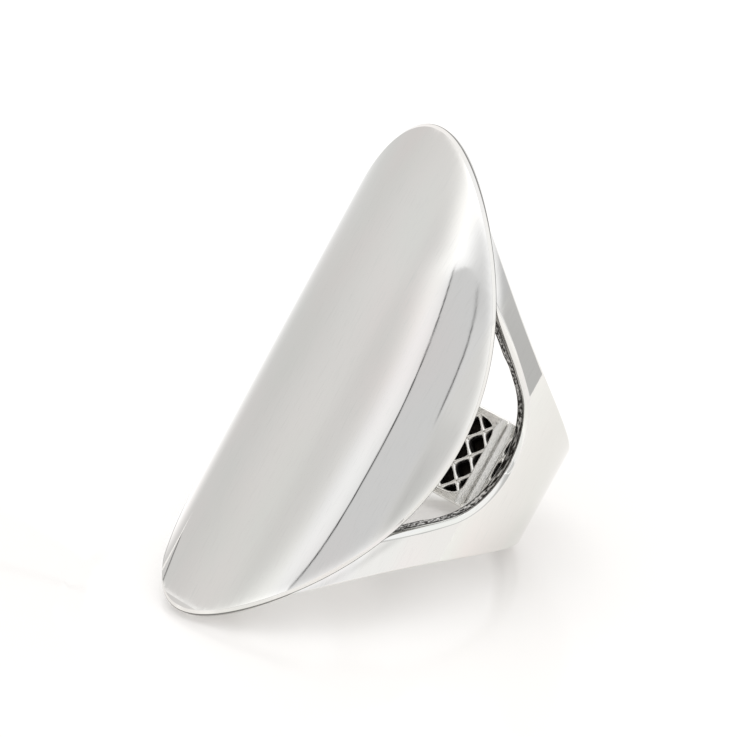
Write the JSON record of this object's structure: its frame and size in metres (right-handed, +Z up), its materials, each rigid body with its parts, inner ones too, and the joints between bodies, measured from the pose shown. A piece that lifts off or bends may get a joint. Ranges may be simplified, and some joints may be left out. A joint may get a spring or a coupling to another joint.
{
  "type": "finger ring",
  "caption": "Wide band ring: a long oval saddle-curved face on a flared band with a lens-shaped opening in each side and a trellis lining at the back.",
  "frame": {"origin": "middle of the base of the bounding box, on the surface that the ring rests on", "axes": "+Z up; the finger lies in the Y-Z plane, its axis leaning about 53 degrees up from +Y; +X across the ring; the face looks towards -Y and up"},
  "size_m": [0.0216, 0.0302, 0.0302],
  "materials": {
    "polished_silver_face": "mirror-polished sterling silver with fine hairlines",
    "polished_silver_band": "mirror-polished sterling silver, darkened behind the lining",
    "darkened_silver_lining": "cast sterling silver, bright on the raised bars and darkened in the gaps"
  },
  "bodies": {
    "root": {"shield": "polished_silver_face", "shank": "polished_silver_band", "lattice_lining": "darkened_silver_lining"}
  },
  "joints": []
}
